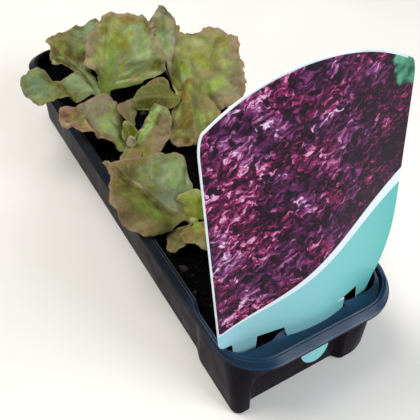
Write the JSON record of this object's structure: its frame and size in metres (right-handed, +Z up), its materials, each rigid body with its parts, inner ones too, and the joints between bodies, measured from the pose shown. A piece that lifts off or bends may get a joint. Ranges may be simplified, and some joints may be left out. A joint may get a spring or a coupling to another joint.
{
  "type": "tray of young lollo rosso lettuce plants",
  "caption": "Young red and green lettuce plants growing in a long shallow tray of compost, with a tall bowed picture label slotted into one end.",
  "frame": {"origin": "the middle of the tray's base, on the surface that it stands on", "axes": "+Z is up; Y runs along the tray, with the label at the -Y end; +X is to the right for someone who faces the label from -Y"},
  "size_m": [0.1474, 0.307, 0.1901],
  "materials": {
    "tray_plastic": "thin vacuum-formed polystyrene, semi-gloss blue-black",
    "peat": "moist dark peat compost, matt and crumbly",
    "printed_card": "printed plastic label, semi-gloss",
    "lettuce_leaf": "fresh soft leaf, green with pinkish brown edges, satin"
  },
  "bodies": {
    "root": {"tray": "tray_plastic", "compost": "peat", "label_card": "printed_card", "lettuce_left_front": "lettuce_leaf", "lettuce_left_middle": "lettuce_leaf", "lettuce_left_back": "lettuce_leaf", "lettuce_right_middle": "lettuce_leaf", "lettuce_right_back": "lettuce_leaf", "lettuce_right_front": "lettuce_leaf", "lettuce_near_label": "lettuce_leaf"}
  },
  "joints": []
}
